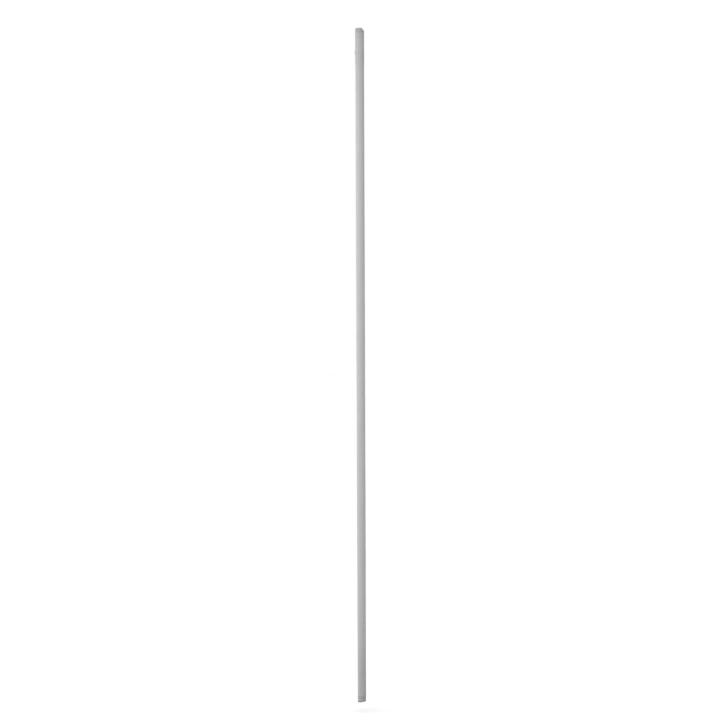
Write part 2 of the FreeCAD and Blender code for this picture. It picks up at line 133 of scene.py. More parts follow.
FLOOR_HEIGHT = -12.5 * MM  # clear of the tip when it is screwed all the way out
FLOOR_HALF = 60.0
SKY_LEVEL = 0.1  # light from the horizon
SKY_SLOPE = (-0.66, 0.0, 1.5)  # how it grows towards +X, +Y and +Z
SKY_LEAST = 0.05
SKY_COLOUR = (0.995, 0.997, 1.0, 1)
KEY_AT = (-1.10, -0.90, 1.19)
KEY_AIM = (0, 0, 0.76)
KEY_SIZE = 0.86
KEY_WATTS = 1.81
CAMERA_AWAY = 3.4
CAMERA_LEFT = 6.40 * MM
CAMERA_RAISED = 13.06 * MM  # above the middle of the cane
CAMERA_ROLL = math.radians(0.204)
FRAME_HEIGHT = 1.0753  # metres that the frame spans at the cane


# ------------------------------------------------------------------------ mesh helpers


def loft(name, rings, ends=(None, None), loop=False):
    """A mesh through closed rings with as many points each. ends are points that close it."""
    bm = bmesh.new()
    rows = [[bm.verts.new(point) for point in ring] for ring in rings]
    steps = list(zip(rows, rows[1:]))
    if loop:
        steps.append((rows[-1], rows[0]))
    count = len(rows[0])
    for low, high in steps:
        for n in range(count):
            after = (n + 1) % count
            bm.faces.new((low[n], low[after], high[after], high[n]))
    for row, end, turned in ((rows[0], ends[0], True), (rows[-1], ends[1], False)):
        if end is None:
            continue
        tip = bm.verts.new(end)
        for n in range(count):
            pair = (row[n], row[(n + 1) % count])
            bm.faces.new((*(reversed(pair) if turned else pair), tip))
    bmesh.ops.recalc_face_normals(bm, faces=bm.faces)
    mesh = bpy.data.meshes.new(name)
    bm.to_mesh(mesh)
    bm.free()
    mesh.shade_smooth()
    mesh.set_sharp_from_angle(angle=SHARP)
    piece = bpy.data.objects.new(name, mesh)
    bpy.context.scene.collection.objects.link(piece)
    return piece


def place(radius, angle, height):
    """A point given by its distance from the axis, its angle and its height."""
    return Vector((radius * math.cos(angle), radius * math.sin(angle), height))


def even_angles(count, extra=()):
    """Angles round the shaft, evenly spaced, with a few more where an edge is."""
    angles = [math.tau * n / count for n in range(count)]
    return sorted(angles + [angle % math.tau for angle in extra])


def spaced(low, high, step):
    """Values from low to high about a step apart, both ends included."""
    count = max(1, round((high - low) / step))
    return [low + (high - low) * n / count for n in range(count + 1)]


def between(value, low, high):
    """0 at low, 1 at high, smooth in between and flat outside."""
    share = min(1.0, max(0.0, (value - low) / (high - low)))
    return share * share * (3 - 2 * share)


def soft_max(a, b, blend):
    """The larger of two lengths, with the corner between them rounded."""
    near = max(0.0, blend - abs(a - b)) / blend
    return max(a, b) + near * near * blend / 4


def grain(point, size, seed):
    """Smooth noise from about -1 to 1 that changes over a distance of size."""
    return noise.noise(point / size + Vector((seed, seed * 1.7, seed * 2.3)))


def cad_profile(node):
    """[(height, outer radius)] of a turned, hollow CAD node, lowest first."""
    widest = {}
    for vertex in frame["nodes"][node].data.vertices:
        height = round(vertex.co.z, 6)
        widest[height] = max(widest.get(height, 0), vertex.co.xy.length)
    # A height that has vertices on the bore only says nothing about the outside.
    profile = []
    for height, radius in sorted(widest.items()):
        while len(profile) > 1 and in_bore(profile[-2], profile[-1], (height, radius)):
            profile.pop()
        profile.append((height, radius))
    return profile


def in_bore(below, point, above):
    """Whether a point lies well inside the line between its neighbours."""
    share = (point[0] - below[0]) / (above[0] - below[0])
    return point[1] < below[1] + (above[1] - below[1]) * share - 0.05 * MM


def at_height(profile, height):
    """The radius of a profile at a height, straight between its points."""
    for (low, r_low), (high, r_high) in zip(profile, profile[1:]):
        if height <= high:
            share = (height - low) / (high - low)
            return r_low + (r_high - r_low) * min(1.0, max(0.0, share))
    return profile[-1][1]


# ------------------------------------------------------------------------- the pieces

_, tube_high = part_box("shaft_tube")
tube_radius = tube_high.x
sheet_profile = cad_profile("reflective_sheeting")
sheet_low, sheet_top = sheet_profile[0][0], sheet_profile[-1][0]
sheet_thick = sheet_profile[-1][1] - tube_radius
wrap_low, wrap_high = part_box("top_wrap")
wrap_radius = wrap_high.x
rivet_low, rivet_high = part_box("plug_rivet")
rivet_height = (rivet_low.z + rivet_high.z) / 2
plug_low, plug_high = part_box("butt_plug")
washer_low, washer_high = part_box("cushion_washer")
_, tip_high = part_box("glide_tip")
stud_low, stud_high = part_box("tip_stud")


def lap_rise(angle, edge, under):
    """0 to 1: the share of a lap's height at an angle. It steps down at its free edge."""
    way = 1 if edge > under else -1
    if (edge - angle) * way < 0:
        return 0.0
    climb = (angle - under) * way
    return between(climb, -math.radians(5), math.radians(6))


def dent_depth(point, radius):
    """How far the dents sink a point of a surface with that radius."""
    depth = 0.0
    for height, angle, deep, reach in DENTS:
        away = (point - place(radius, angle, height)).length / reach
        if away < 1:
            depth += deep * (1 - away * away) ** 2
    return depth


def make_sheeting():
    """One layer of sheeting wrapped lengthwise round the tube, with its lap at the back."""
    edge = SHEET_LAP_EDGE
    angles = even_angles(96, extra=(edge - LAP_STEP, edge + LAP_STEP))
    heights = [level for level, _ in sheet_profile]
    for low, high in zip(list(heights), heights[1:]):
        heights += spaced(low, high, 3.5 * MM)[1:-1]
    heights += [sheet_low + 0.25 * MM, sheet_low + SHEET_FRAY, sheet_top - 0.3 * MM]
    heights.sort()

    def outer(height):
        ring = []
        base = at_height(sheet_profile, height)
        for angle in angles:
            point = place(base, angle, height)
            lift = lap_rise(angle, edge, SHEET_LAP_UNDER) * LAP_THICK
            lift += 0.012 * MM * grain(point, 9 * MM, seed=3)
            lift += 0.008 * MM * grain(point, 2.6 * MM, seed=8)
            lift -= dent_depth(point, base)
            worn = between(height, sheet_low + SHEET_FRAY, sheet_low)
            lift -= worn * (0.09 + 0.07 * grain(point, 1.5 * MM, seed=5)) * MM
            slip = worn * 0.05 * MM * grain(point, 2.2 * MM, seed=6)
            ring.append(place(base + lift, angle, height + slip))
        return ring

    rings = [outer(height) for height in heights]
    for height, radius in reversed(sheet_profile):
        rings.append([place(radius - sheet_thick, angle, height) for angle in angles])
    return loft("sheeting", rings, loop=True)


def dome_radius_at(angle, height):
    """The distance out to the sheeting that is drawn over the rivet's head, or 0."""
    head_half = (rivet_high.z - rivet_low.z) / 2
    wrap_thick = wrap_radius - tube_radius
    crown_high = -wrap_low.x - wrap_radius
    crown = (head_half**2 + crown_high**2) / (2 * crown_high)
    centre = tube_radius + crown_high - crown
    ball = crown + wrap_thick
    across = -centre * math.cos(angle)
    left = across**2 - centre**2 + ball**2 - (height - rivet_height) ** 2
    if across <= 0 or left <= 0:
        return 0.0
    return across + math.sqrt(left)


def crease_lift(angle, height):
    """Small folds that run out from the rivet's head, where the sheeting is stretched."""
    across = (angle - math.pi) * wrap_radius
    up = height - rivet_height
    away = math.hypot(across, up)
    turn = math.atan2(up, across)
    strength = between(away, 2.6 * MM, 4.0 * MM) * between(away, 8.5 * MM, 5.0 * MM)
    wave = math.cos(7 * turn + 2.1 * math.sin(2 * turn + 0.6)) * (0.6 + 0.4 * math.sin(3 * turn))
    return CREASE_HIGH * strength * wave


def make_upper_wrap():
    """Two more turns of sheeting at the top, drawn over the rivet's head."""
    edge = WRAP_LAP_EDGE
    angles = even_angles(144, extra=(edge - LAP_STEP, edge + LAP_STEP))
    foot, top = wrap_low.z, wrap_high.z
    fine_low, fine_high = rivet_height - RIVET_FIELD, rivet_height + RIVET_FIELD
    heights = spaced(foot, fine_low, 1.4 * MM) + spaced(fine_low, fine_high, 0.3 * MM)[1:]
    heights += spaced(fine_high, top, 1.4 * MM)[1:]
    heights += [foot + 0.1 * MM, foot + 0.3 * MM, top - 0.1 * MM, top - 0.3 * MM]
    heights.sort()

    def outer(height):
        ring = []
        end = min(height - foot, top - height)
        rounding = WRAP_ROUNDING * (1 - between(end, 0, 0.3 * MM))
        for angle in angles:
            point = place(wrap_radius, angle, height)
            base = wrap_radius + lap_rise(angle, edge, WRAP_LAP_UNDER) * LAP_THICK
            base += 0.014 * MM * grain(point, 7 * MM, seed=13)
            base += 0.010 * MM * grain(point, 2.4 * MM, seed=18)
            radius = soft_max(base, dome_radius_at(angle, height), RIVET_DOME_BLEND)
            radius += crease_lift(angle, height)
            radius = min(radius, -wrap_low.x)
            ring.append(place(radius - rounding, angle, height))
        return ring

    rings = [outer(height) for height in heights]
    for height in (top, foot):
        rings.append([place(tube_radius, angle, height) for angle in angles])
    return loft("upper_wrap", rings, loop=True)


def make_plug():
    """The nylon plug: a ribbed, cored spigot under a head with one side cut off flat."""
    angles = even_angles(168)
    shoulder, top = wrap_high.z, plug_high.z
    roof = shoulder - PLUG_ROOF
    # Core, from its roof down to the spigot's open end.
    square = [PLUG_CORE / max(abs(math.cos(a)), abs(math.sin(a))) for a in angles]
    rings = [[place(r, a, roof) for r, a in zip(square, angles)]]
    rings.append([place(r, a, plug_low.z) for r, a in zip(square, angles)])
    for height, radius in spigot_outline(shoulder):
        rings.append([place(radius, angle, height) for angle in angles])
    # Head, with its rounded top edge.
    rings.append(head_ring(angles, shoulder, PLUG_UNDERCUT))
    for height in spaced(shoulder + PLUG_UNDERCUT_HIGH, top - PLUG_EDGE, 0.4 * MM):
        rings.append(head_ring(angles, height, 0.0))
    for turn in spaced(0, math.pi / 2, math.pi / 14)[1:]:
        drop = PLUG_EDGE * (1 - math.sin(turn))
        rings.append(head_ring(angles, top - drop, PLUG_EDGE * (1 - math.cos(turn))))
    # Top face, sunk round the gate's scar.
    rim = rings[-1]
    middle = Vector((PLUG_GATE, 0, top))
    near_rim = (0.97, 0.93, 0.88, 0.82, 0.74, 0.65, 0.55)
    near_gate = (0.45, 0.36, 0.28, 0.21, 0.15, 0.1, 0.05)
    for share in near_rim + near_gate:
        spots = [middle.lerp(point, share) for point in rim]
        rings.append([Vector((spot.x, spot.y, top - top_sink(spot, middle))) for spot in spots])
    last = Vector((middle.x, middle.y, top - top_sink(middle, middle)))
    plug = loft("end_plug", rings, ends=(Vector((0, 0, roof)), last))
    corner = Vector((plug_high.x - PLUG_CUT_ACROSS, 0, top))
    cut_flat(plug.data, corner, Vector((PLUG_CUT_DOWN, 0, PLUG_CUT_ACROSS)).normalized())
    return plug


def spigot_outline(shoulder):
    """[(height, radius)] of the spigot and the grooves in it, from the open end up."""
    spigot_radius = tube_radius - TUBE_WALL
    groove_radius = spigot_radius - GROOVE_DEEP
    outline = [(plug_low.z, spigot_radius - SPIGOT_LEAD)]
    outline.append((plug_low.z + SPIGOT_LEAD_HIGH, spigot_radius))
    for groove in range(GROOVES, 0, -1):
        high = shoulder - groove * GROOVE_PITCH
        low = high - GROOVE_WIDE
        outline += [(low, spigot_radius), (low, groove_radius)]
        outline += [(high, groove_radius), (high, spigot_radius)]
    outline.append((shoulder, spigot_radius))
    return outline


def head_ring(angles, height, inset):
    """A ring round the plug's head, a little uneven, with old knocks near the top."""
    radius, top = plug_high.x, plug_high.z
    near_top = between(height, top - 1.2 * MM, top - 0.2 * MM)
    ring = []
    for angle in angles:
        point = place(radius, angle, height)
        knock = max(0.0, grain(point, 1.1 * MM, seed=31) - 0.25) * near_top * 0.16 * MM
        uneven = 0.012 * MM * (1 + grain(point, 3 * MM, seed=33))
        ring.append(place(radius - inset - knock - uneven, angle, height))
    return ring


def cut_flat(mesh, point, outward):
    """Cuts away what lies beyond a plane, closes the mesh there and eases the new edge."""
    bm = bmesh.new()
    bm.from_mesh(mesh)
    everything = bm.verts[:] + bm.edges[:] + bm.faces[:]
    bmesh.ops.bisect_plane(bm, geom=everything, plane_co=point, plane_no=outward, clear_outer=True)
    open_edges = [edge for edge in bm.edges if edge.is_boundary]
    corners = list({corner for edge in open_edges for corner in edge.verts})
    bmesh.ops.remove_doubles(bm, verts=corners, dist=0.06 * MM)
    open_edges = [edge for edge in bm.edges if edge.is_boundary]
    flat = bmesh.ops.edgeloop_fill(bm, edges=open_edges)["faces"]
    rim = [edge for face in flat for edge in face.edges]
    ends = list({corner for edge in rim for corner in edge.verts})
    bmesh.ops.bevel(bm, geom=rim + ends, offset=0.10 * MM, segments=2, profile=0.5, affect="EDGES")
    bmesh.ops.recalc_face_normals(bm, faces=bm.faces)
    bm.to_mesh(mesh)
    bm.free()
    mesh.shade_smooth()
    mesh.set_sharp_from_angle(angle=SHARP)


def shrink(point, inset):
    """The point moved towards the axis."""
    away = point.xy.length
    share = (away - inset) / away
    return Vector((point.x * share, point.y * share, point.z))


def top_sink(point, middle):
    """Depth of the plug's top face: a shallow sink mark, the gate's ring scar, old nicks."""
    away = (point.xy - middle.xy).length
    depth = PLUG_SINK * (1 - between(away, 0, 4.5 * MM))
    from_ridge = (away - PLUG_GATE_RADIUS) / PLUG_GATE_RIDGE_WIDE
    depth -= PLUG_GATE_RIDGE * math.exp(-(from_ridge**2))
    flat = Vector((point.x, point.y, 0))
    depth += 0.03 * MM * max(0.0, grain(flat, 1.3 * MM, seed=41))
    return depth


def make_washer():
    """A soft ring, squeezed a little so that its rim bulges."""
    angles = even_angles(120)
    low, high = washer_low.z, washer_high.z
    rim, inner = washer_high.x, WASHER_BORE
    half = (high - low) / 2
    centre = (low + high) / 2
    flat = spaced(inner + 0.8 * MM, rim - 0.5 * MM, 0.8 * MM)
    # Each point is a radius and a share of half the thickness.
    outline = [(inner, -0.72), (inner, 0.72), (inner + WASHER_BEVEL, 1.0)]
    outline += [(radius, 1.0) for radius in flat]
    for n in range(11):
        turn = math.pi / 2 - math.pi * n / 10
        outline.append((rim - WASHER_BULGE * (1 - math.cos(turn)), math.sin(turn)))
    outline += [(radius, -1.0) for radius in reversed(flat)]
    outline.append((inner + WASHER_BEVEL, -1.0))
    rings = []
    for radius, share in outline:
        ring = []
        for angle in angles:
            point = place(radius, angle, centre + share * half)
            at_rim = between(radius, rim - 0.6 * MM, rim)
            uneven = at_rim * 0.05 * MM * grain(point, 1.6 * MM, seed=51)
            ring.append(place(radius + uneven, angle, point.z))
        rings.append(ring)
    return loft("washer", rings, loop=True)


def foot_height(x):
    """Height of the tip's underside: flat, then rising where it is worn."""
    return soft_max(0.0, (x - WEAR_START) * WEAR_SLOPE, 0.10 * MM)


def worn_up(point):
    """The point moved up by the worn underside, less and less towards the tip's top."""
    rise = foot_height(point.x)
    return Vector((point.x, point.y, point.z + rise * (1 - point.z / tip_high.z)))


def score_depth(point):
    """Depth of the scratches in the tip's underside, most of them along Y."""
    along = Vector((point.x * 0.35, point.y * 2.4, 0))
    return max(0.0, abs(grain(along, 0.7 * MM, seed=61)) - 0.12) * 0.10 * MM


def chip_depth(point):
    """Depth of the small chips in the edge of the tip's foot."""
    return max(0.0, grain(point, 0.8 * MM, seed=64) - 0.30) * 0.5 * MM


def foot_rounding(angle):
    """Radius of the foot's edge, smaller on the worn side."""
    less = TIP_ROUNDING - TIP_ROUNDING_WORN
    return TIP_ROUNDING - less * max(0.0, math.cos(angle))


def underside_ring(angles, share):
    """A ring in the tip's scratched underside, at a share of the way out to its edge."""
    ring = []
    for angle in angles:
        point = place((TIP_FOOT_RADIUS - foot_rounding(angle)) * share, angle, 0)
        ring.append(worn_up(point) + Vector((0, 0, score_depth(point))))
    return ring


def foot_edge_ring(angles, share):
    """A ring in the rounded edge of the foot: share is 0 at the underside, 1 at the side."""
    turn = math.pi / 2 * share
    ring = []
    for angle in angles:
        curve = foot_rounding(angle)
        radius = TIP_FOOT_RADIUS - curve + curve * math.sin(turn)
        point = place(radius, angle, curve * (1 - math.cos(turn)))
        lifted = worn_up(point) + Vector((0, 0, score_depth(point) * (1 - share)))
        chip = chip_depth(point) * (1 - between(share, 0.5, 1.0) * 0.7)
        ring.append(shrink(lifted, chip * 0.7))
    return ring


def tip_side_ring(angles, share):
    """A ring in the tip's turned side, at a share of the way up from the foot's edge."""
    top = tip_high.z
    ring = []
    for angle in angles:
        low = foot_rounding(angle)
        height = low + (top - TIP_TOP_ROUNDING - low) * share
        radius = TIP_FOOT_RADIUS + (tip_high.x - TIP_FOOT_RADIUS) * height / top
        point = place(radius, angle, height)
        chip = chip_depth(point) * 0.3 * (1 - between(share, 0.05, 0.35))
        turned = 0.006 * MM * math.sin(height / (0.11 * MM))
        ring.append(shrink(worn_up(point), chip + 0.008 * MM + turned))
    return ring


def make_tip():
    """The wear tip: nylon with a rounded foot, worn away on one side."""
    angles = even_angles(168)
    near_axis = (0.06, 0.13, 0.2, 0.28, 0.36, 0.44, 0.52)
    near_edge = (0.6, 0.68, 0.76, 0.83, 0.89, 0.95, 1.0)
    rings = [underside_ring(angles, share) for share in near_axis + near_edge]
    rings += [foot_edge_ring(angles, n / 10) for n in range(1, 11)]
    rings += [tip_side_ring(angles, share) for share in spaced(0.03, 1.0, 0.03)]
    # Rounded top edge and the top face, down to the bore.
    top, bore = tip_high.z, STUD_RADIUS + STUD_PLAY
    for n in range(1, 6):
        turn = math.pi / 2 * n / 5
        radius = tip_high.x - TIP_TOP_ROUNDING * (1 - math.cos(turn))
        height = top - TIP_TOP_ROUNDING * (1 - math.sin(turn))
        rings.append([place(radius, angle, height) for angle in angles])
    for radius in (5.4 * MM, 4.4 * MM, 3.6 * MM, bore):
        rings.append([place(radius, angle, top) for angle in angles])
    # Bore and the seat of the stud's hexagon.
    hexagon = [hex_radius(angle, STUD_HALF_HEX + STUD_PLAY) for angle in angles]
    seat_low = stud_low.z - STUD_PLAY
    seat_top = stud_low.z + STUD_HEX_HIGH + STUD_PLAY
    rings.append([place(bore, angle, seat_top) for angle in angles])
    rings.append([place(r, a, seat_top) for r, a in zip(hexagon, angles)])
    rings.append([place(r, a, seat_low) for r, a in zip(hexagon, angles)])
    under = worn_up(Vector((0, 0, 0)))
    return loft("wear_tip", rings, ends=(under, Vector((0, 0, seat_low))))


def hex_radius(angle, half):
    """Distance from the axis to a hexagon whose flats face +X and -X."""
    near = (angle + math.pi / 6) % (math.pi / 3) - math.pi / 6
    return half / math.cos(near)


def make_stud():
    """The tip's steel stud, its screw thread cut as a real right-hand helix."""
    angles = even_angles(72)
    low, top = stud_low.z, stud_high.z
    hex_top = low + STUD_HEX_HIGH
    thread_low = washer_high.z
    hexagon = [hex_radius(angle, STUD_HALF_HEX) for angle in angles]
    rings = [
        [place(r, a, low) for r, a in zip(hexagon, angles)],
        [place(r, a, hex_top) for r, a in zip(hexagon, angles)],
    ]
    for height in spaced(hex_top, thread_low, 0.6 * MM):
        rings.append([place(STUD_RADIUS, angle, height) for angle in angles])
    root_flat, flank = 0.18, 0.70  # shares of half a pitch
    for height in spaced(thread_low + 0.05 * MM, top, THREAD_PITCH / 16):
        ring = []
        run_out = between(height, thread_low, thread_low + THREAD_RUN_OUT)
        pointed = STUD_RADIUS - (height - (top - STUD_POINT))
        for angle in angles:
            phase = (height / THREAD_PITCH - angle / math.tau) % 1.0
            crest = abs(2 * phase - 1)
            cut = 1 - min(1.0, max(0.0, (crest - root_flat) / flank))
            radius = STUD_RADIUS - THREAD_DEPTH * cut * run_out
            ring.append(place(min(radius, pointed), angle, height))
        rings.append(ring)
    return loft("threaded_stud", rings, ends=(Vector((0, 0, low)), Vector((0, 0, top))))


# --------------------------------------------------------------------------- materials


class Graph:
    """Builds one material's nodes. Coordinates are millimetres in the CAD frame."""

    def __init__(self, name):
        self.material = bpy.data.materials.new(name)
        self.material.use_nodes = True
        self.nodes = self.material.node_tree.nodes
        self.links = self.material.node_tree.links
        self.nodes.clear()
        self.shader = self.add("ShaderNodeBsdfPrincipled")
        output = self.add("ShaderNodeOutputMaterial")
        self.links.new(self.shader.outputs["BSDF"], output.inputs["Surface"])
        where = self.add("ShaderNodeTexCoord").outputs["Object"]
        self.mm = self.vector("SCALE", where, Scale=1 / MM)
        apart = self.add("ShaderNodeSeparateXYZ", Vector=self.mm)
        self.x, self.y, self.z = (apart.outputs[axis] for axis in "XYZ")
        self.angle = self.math("ARCTAN2", self.y, self.x)

    def add(self, kind, **inputs):
        """A node with its inputs set or linked. Keys in lower case are its own settings."""
        node = self.nodes.new(kind)
        for key, value in inputs.items():
            if key[0].islower():
                setattr(node, key, value)
        for key, value in inputs.items():
            if not key[0].islower():
                self.feed(node.inputs[key.replace("_", " ")], value)
        return node

    def feed(self, socket, value):
        if isinstance(value, bpy.types.NodeSocket):
            self.links.new(value, socket)
        else:
            socket.default_value = value

    def math(self, operation, *values):
        node = self.add("ShaderNodeMath", operation=operation)
        for socket, value in zip(node.inputs, values):
            self.feed(socket, value)
        return node.outputs["Value"]

    def vector(self, operation, *values, Scale=None):
        node = self.add("ShaderNodeVectorMath", operation=operation)
        for socket, value in zip(node.inputs, values):
            self.feed(socket, value)
        if Scale is not None:
            self.feed(node.inputs["Scale"], Scale)
        return node.outputs["Vector"]

    def product(self, *factors):
        """Values multiplied together."""
        total = factors[0]
        for factor in factors[1:]:
            total = self.math("MULTIPLY", total, factor)
        return total

    def largest(self, *values):
        """The largest of the values."""
        most = values[0]
        for value in values[1:]:
            most = self.math("MAXIMUM", most, value)
        return most

    def stretched(self, x, y, z):
        """The position, scaled on each axis."""
        return self.vector("MULTIPLY", self.mm, (x, y, z))

    def noise(self, size, detail=3.0, roughness=0.55, at=None):
        """Noise from 0 to 1 with features about size millimetres across."""
        node = self.add(
            "ShaderNodeTexNoise",
            Vector=at or self.mm,
            Scale=1 / size,
            Detail=detail,
            Roughness=roughness,
        )
        return node.outputs["Fac"]

    def cells(self, size):
        """The distance from the middle of the nearest of many cells of about that size."""
        node = self.add("ShaderNodeTexVoronoi", Vector=self.mm, Scale=1 / size, feature="F1")
        return node.outputs["Distance"]

    def scratches(self, length, width, turn):
        """Sparse thin marks, level round the shaft until turned by angles about X, Y and Z."""
        turned = self.add("ShaderNodeMapping", Vector=self.mm, Rotation=turn).outputs["Vector"]
        at = self.vector("MULTIPLY", turned, (1 / length, 1 / length, 1 / width))
        return self.span(self.noise(1.0, detail=2.5, roughness=0.6, at=at), 0.64, 0.70)

    def span(self, value, low, high, to_low=0.0, to_high=1.0, smooth=True):
        """The value mapped from one span to another, and held at its ends."""
        node = self.add(
            "ShaderNodeMapRange",
            interpolation_type="SMOOTHSTEP" if smooth else "LINEAR",
            Value=value,
            From_Min=low,
            From_Max=high,
            To_Min=to_low,
            To_Max=to_high,
        )
        return node.outputs["Result"]

    def band(self, value, middle, half, soft):
        """1 within half of the middle, falling to 0 over soft."""
        away = self.math("ABSOLUTE", self.math("SUBTRACT", value, middle))
        return self.span(away, half, half + soft, 1.0, 0.0)

    def mix(self, share, a, b):
        """A blend of two colours."""
        node = self.add("ShaderNodeMix", data_type="RGBA")
        for socket, value in zip((node.inputs[0], node.inputs[6], node.inputs[7]), (share, a, b)):
            self.feed(socket, value)
        return node.outputs[2]

    def times(self, colour, factor):
        """A colour made lighter or darker by a factor."""
        return self.vector("SCALE", colour[:3], Scale=factor)

    def edges(self, radius):
        """0 on a flat face, rising towards 1 on an edge."""
        round_normal = self.add("ShaderNodeBevel", samples=6, Radius=radius * MM).outputs["Normal"]
        normal = self.add("ShaderNodeNewGeometry").outputs["Normal"]
        node = self.add("ShaderNodeVectorMath", operation="DOT_PRODUCT")
        self.feed(node.inputs[0], round_normal)
        self.feed(node.inputs[1], normal)
        return self.span(node.outputs["Value"], 1.0, 0.86, smooth=False)

    def bump(self, height, distance, strength, normal=None):
        """A relief of that many millimetres."""
        inputs = {"Height": height, "Distance": distance * MM, "Strength": strength}
        if normal is not None:
            inputs["Normal"] = normal
        return self.add("ShaderNodeBump", **inputs).outputs["Normal"]

    def finish(self, colour, roughness, normal, **uniform):
        """The material, with its patterns linked and its uniform values set."""
        for name, value in (("Base Color", colour), ("Roughness", roughness), ("Normal", normal)):
            self.feed(self.shader.inputs[name], value)
        for name, value in uniform.items():
            self.feed(self.shader.inputs[name.replace("_", " ")], value)
        return self.material


def grey(value):
    """The white's own grey, with a trace of blue."""
    return (value, value * 0.999, value * 1.006, 1.0)


def dirt_and_shade_grey(value):
    """The grey of ground-in dirt, a little brown; also used for the painted shade at the tip's
    foot.
    """
    return (value, value * 0.975, value * 0.94, 1.0)


# How the sheeting's tone changes along the shaft: darker over the top end, a little darker through
# the middle
# and steadily darker towards the ground: from one height to another in millimetres, by what
# factor, how smoothly.
TONE_STEPS = [
    (819, 990, 0.94, True),
    (996, 1006, 0.935, True),
    (790, 470, 0.972, True),
    (495, 0, 0.85, False),
    (140, 19, 0.882, True),
]


def sheeting_material(name, lap_angle, base):
    """White glass-bead sheeting: silvery grey, fine beads under a clear film, darker low down,
    with scratches.
    """
    g = Graph(name)
    around = g.product(g.angle, sheet_profile[-1][1] / MM)
    film = g.add("ShaderNodeCombineXYZ", X=around, Y=g.product(g.z, 0.02), Z=0.0)
    streaks = g.noise(1.1, detail=4, at=film.outputs["Vector"])
    blotches = g.noise(38, detail=4, roughness=0.6)
    mottle = g.noise(5.5, detail=5, roughness=0.65)
    beads = g.cells(0.14)
    speck = g.noise(0.35, detail=2)

    tone = g.product(
        g.span(blotches, 0.25, 0.75, 0.990, 1.007),
        g.span(streaks, 0.3, 0.7, 0.982, 1.018),
        g.span(mottle, 0.3, 0.7, 0.985, 1.012),
        g.span(speck, 0.2, 0.8, 0.95, 1.05),
    )
    for start, end, factor, smooth in TONE_STEPS:
        tone = g.product(tone, g.span(g.z, start, end, 1.0, factor, smooth))
    colour = g.times(grey(base), tone)

    # Scratches from kerbs and steps: mostly low down, in patches, and seldom quite level.
    scratches = g.largest(
        g.scratches(7.0, 0.32, (0.34, 0.21, 0)),
        g.scratches(4.0, 0.22, (-0.5, -0.28, 0)),
        g.scratches(13.0, 0.2, (0.05, -0.06, 0.4)),
    )
    low_down = g.span(g.z, 400, 15)
    patches = g.span(g.noise(9.0, detail=3), 0.42, 0.62)
    marks = g.product(g.math("MULTIPLY_ADD", low_down, 0.8, 0.06), patches, scratches)
    rings = g.largest(*(g.band(g.z, *ring) for ring in RINGS))
    rings = g.product(rings, g.span(g.noise(2.2, detail=5), 0.42, 0.66))
    marks = g.largest(marks, g.product(rings, 0.34))
    colour = g.mix(g.product(marks, 0.55), colour, grey(0.20))

    # Dirt along the lap's free edge, and at the cut lower end.
    seam = g.band(g.angle, lap_angle, 0.006, 0.03)
    along = g.noise(14.0, detail=5, roughness=0.6)
    seam = g.product(seam, g.span(along, 0.3, 0.7, 0.35, 1.0))
    cut_end = g.product(g.span(g.z, 11.2, 7.9), g.span(g.noise(1.2, detail=4), 0.3, 0.7))
    soil = g.largest(g.product(seam, 0.6), g.product(cut_end, 0.42))
    colour = g.mix(soil, colour, dirt_and_shade_grey(0.13))

    rough = g.span(mottle, 0.25, 0.75, 0.36, 0.47)
    rough = g.math("ADD", rough, g.product(marks, 0.25))
    rough = g.math("ADD", rough, g.span(g.z, 300, 10, 0.0, 0.12))
    relief = g.bump(beads, 0.012, 0.5)
    relief = g.bump(g.noise(1.8, detail=3), 0.02, 0.6, normal=relief)
    relief = g.bump(marks, 0.03, 0.7, normal=relief)
    return g.finish(
        colour,
        rough,
        relief,
        Specular_IOR_Level=0.3,
        Coat_Weight=0.08,
        Coat_Roughness=0.25,
    )


def nylon_material(name, base, soil, foot=None):
    """Moulded white nylon gone grey: fine spark texture, handled edges, a few scratches."""
    g = Graph(name)
    cloud = g.noise(5.0, detail=5, roughness=0.6)
    spark = g.noise(0.16, detail=2)
    edge = g.edges(0.45)
    worn = g.product(edge, g.span(g.noise(1.3, detail=4), 0.3, 0.62))
    patches = g.span(g.noise(2.8, detail=3), 0.46, 0.62)
    dark_marks = g.product(g.scratches(3.5, 0.14, (0.4, 0.25, 0)), patches)
    nicks = g.span(g.noise(0.55, detail=4, roughness=0.6), 0.66, 0.72)
    dark_marks = g.largest(dark_marks, g.product(nicks, 0.8))
    elsewhere = g.math("SUBTRACT", 1.0, patches)
    pale_marks = g.product(g.scratches(2.6, 0.12, (-0.25, 0.5, 1)), elsewhere)

    tone = g.span(cloud, 0.25, 0.75, 0.96, 1.04)
    tone = g.product(tone, g.span(spark, 0.2, 0.8, 0.97, 1.03))
    colour = g.times(grey(base), tone)
    soiled = g.product(g.span(cloud, 0.42, 0.75), soil)
    colour = g.mix(soiled, colour, dirt_and_shade_grey(base * 0.66))
    colour = g.mix(g.product(dark_marks, 0.35), colour, grey(base * 0.5))
    colour = g.mix(g.product(pale_marks, 0.30), colour, grey(base * 1.35))
    colour = g.mix(g.product(worn, 0.35), colour, dirt_and_shade_grey(base * 0.55))
    if foot is not None:
        colour = foot(g, colour)
    rough = g.span(cloud, 0.25, 0.75, 0.42, 0.58)
    rough = g.math("SUBTRACT", rough, g.product(worn, 0.12))
    relief = g.bump(spark, 0.012, 0.5)
    relief = g.bump(dark_marks, 0.03, 0.6, normal=relief)
    relief = g.bump(pale_marks, 0.02, 0.5, normal=relief)
    return g.finish(
        colour,
        rough,
        relief,
        Specular_IOR_Level=0.35,
        Subsurface_Weight=0.06,
        Subsurface_Radius=(1.0, 1.0, 1.0),
        Subsurface_Scale=0.6 * MM,
    )


